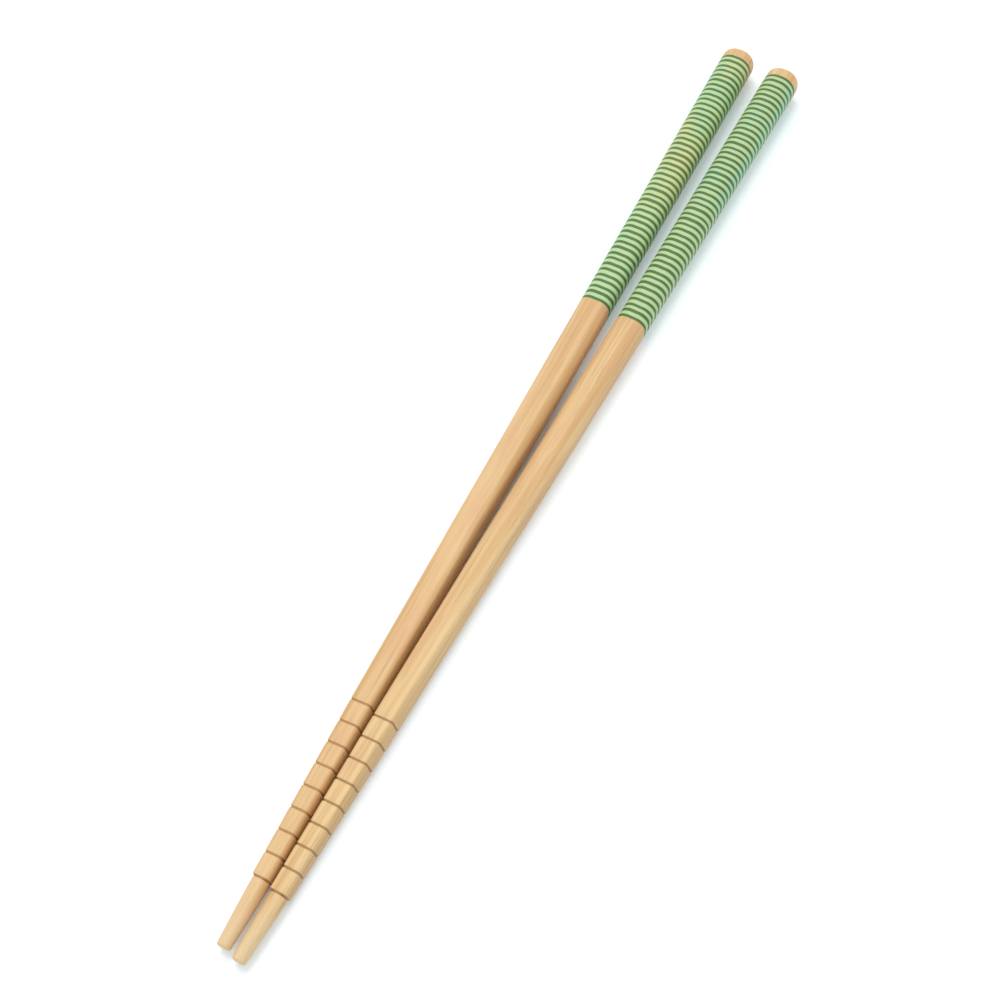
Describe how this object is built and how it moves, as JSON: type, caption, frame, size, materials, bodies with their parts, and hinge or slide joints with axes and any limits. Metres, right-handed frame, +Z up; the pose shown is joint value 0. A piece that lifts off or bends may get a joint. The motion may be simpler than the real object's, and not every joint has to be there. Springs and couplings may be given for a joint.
{
  "type": "pair of bamboo chopsticks",
  "caption": "Pair of tapered bamboo chopsticks with ring grooves above the turned tips and a green ringed print on the heads.",
  "frame": {"origin": "on the surface that the pair lies on, under the middle of the pair's box", "axes": "+X runs from the tips to the heads, +Y to the left stick, +Z up"},
  "size_m": [0.2258, 0.0188, 0.0075],
  "materials": {
    "bamboo": "sanded bare bamboo with a green ringed print on the head third"
  },
  "bodies": {
    "root": {"left_chopstick": "bamboo", "right_chopstick": "bamboo"}
  },
  "joints": []
}
